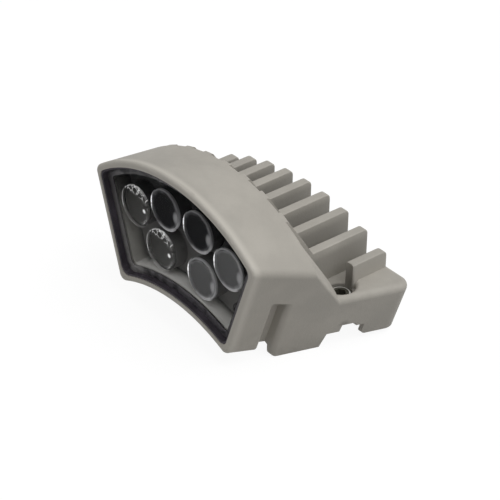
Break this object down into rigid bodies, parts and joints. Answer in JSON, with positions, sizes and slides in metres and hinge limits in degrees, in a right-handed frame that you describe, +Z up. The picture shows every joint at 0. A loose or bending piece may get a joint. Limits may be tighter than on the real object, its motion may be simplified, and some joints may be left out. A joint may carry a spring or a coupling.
{
  "type": "infrared illuminator",
  "caption": "Finned cast infrared illuminator with a curved window over clear lenses and a saddle-shaped underside with screwed end lugs.",
  "frame": {"origin": "middle of the footprint on the plane of the front feet", "axes": "+Z up, -Y the way the window faces, +X to the right across the window seen from behind it"},
  "size_m": [0.1442, 0.0846, 0.0835],
  "materials": {
    "powder_coat": "fine-textured beige-grey powder coat",
    "window": "clear polished",
    "black_rubber": "matt",
    "black_mask": "black print",
    "lens_plastic": "clear moulded",
    "holder_plastic": "matt black",
    "circuit_board": "black solder mask",
    "emitter": "pale body with clear dome",
    "pad": "soft grey",
    "screw_steel": "stainless, satin",
    "component_black": "matt",
    "capacitor_can": "satin",
    "bush_plastic": "matt black"
  },
  "bodies": {
    "root": {"board_screws": "screw_steel", "driver_board": "circuit_board", "driver_capacitors": "capacitor_can", "driver_chip": "component_black", "driver_coil": "component_black", "driver_link": "component_black", "driver_screws": "screw_steel", "glazing_bead": "black_rubber", "holder_1": "holder_plastic", "holder_2": "holder_plastic", "holder_3": "holder_plastic", "holder_4": "holder_plastic", "holder_5": "holder_plastic", "holder_6": "holder_plastic", "housing": "powder_coat", "inlet_bush": "bush_plastic", "inlet_grommet": "black_rubber", "inlet_ring": "black_rubber", "led_1": "emitter", "led_2": "emitter", "led_3": "emitter", "led_4": "emitter", "led_5": "emitter", "led_6": "emitter", "led_board": "circuit_board", "lens_1": "lens_plastic", "lens_2": "lens_plastic", "lens_3": "lens_plastic", "lens_4": "lens_plastic", "lens_5": "lens_plastic", "lens_6": "lens_plastic", "mounting_screws": "screw_steel", "mounting_washers": "screw_steel", "thermal_pad": "pad", "window_glass": "window", "window_mask": "black_mask", "window_seal": "black_rubber"}
  },
  "joints": []
}
